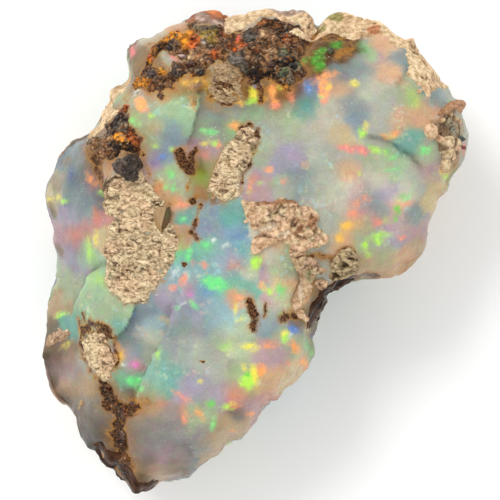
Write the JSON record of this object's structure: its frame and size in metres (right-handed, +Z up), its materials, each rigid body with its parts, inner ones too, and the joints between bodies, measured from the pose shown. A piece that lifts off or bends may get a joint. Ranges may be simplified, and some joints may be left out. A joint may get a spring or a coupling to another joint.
{
  "type": "rough precious opal",
  "caption": "Rough nugget of milky opal with flashes of colour, still fused to its crumbly pale host rock and rusty crusts, lying on its flat back.",
  "frame": {"origin": "middle of the stone's box in plan, on the surface that its flat back rests on", "axes": "+Z up out of the broad broken face, +Y along the stone's length away from its point, +X to the right seen from above"},
  "size_m": [0.0268, 0.0306, 0.0122],
  "materials": {
    "opal": "milky, slightly see-through opal with a waxy to glassy gloss on its broken faces",
    "host_rock": "cream porous volcanic tuff, dull and crumbly",
    "ironstone": "dark brown to orange iron oxide crust with glossy grains",
    "crystal": "small clear to brown glassy grains"
  },
  "bodies": {
    "root": {"rough_opal": "opal"}
  },
  "joints": []
}
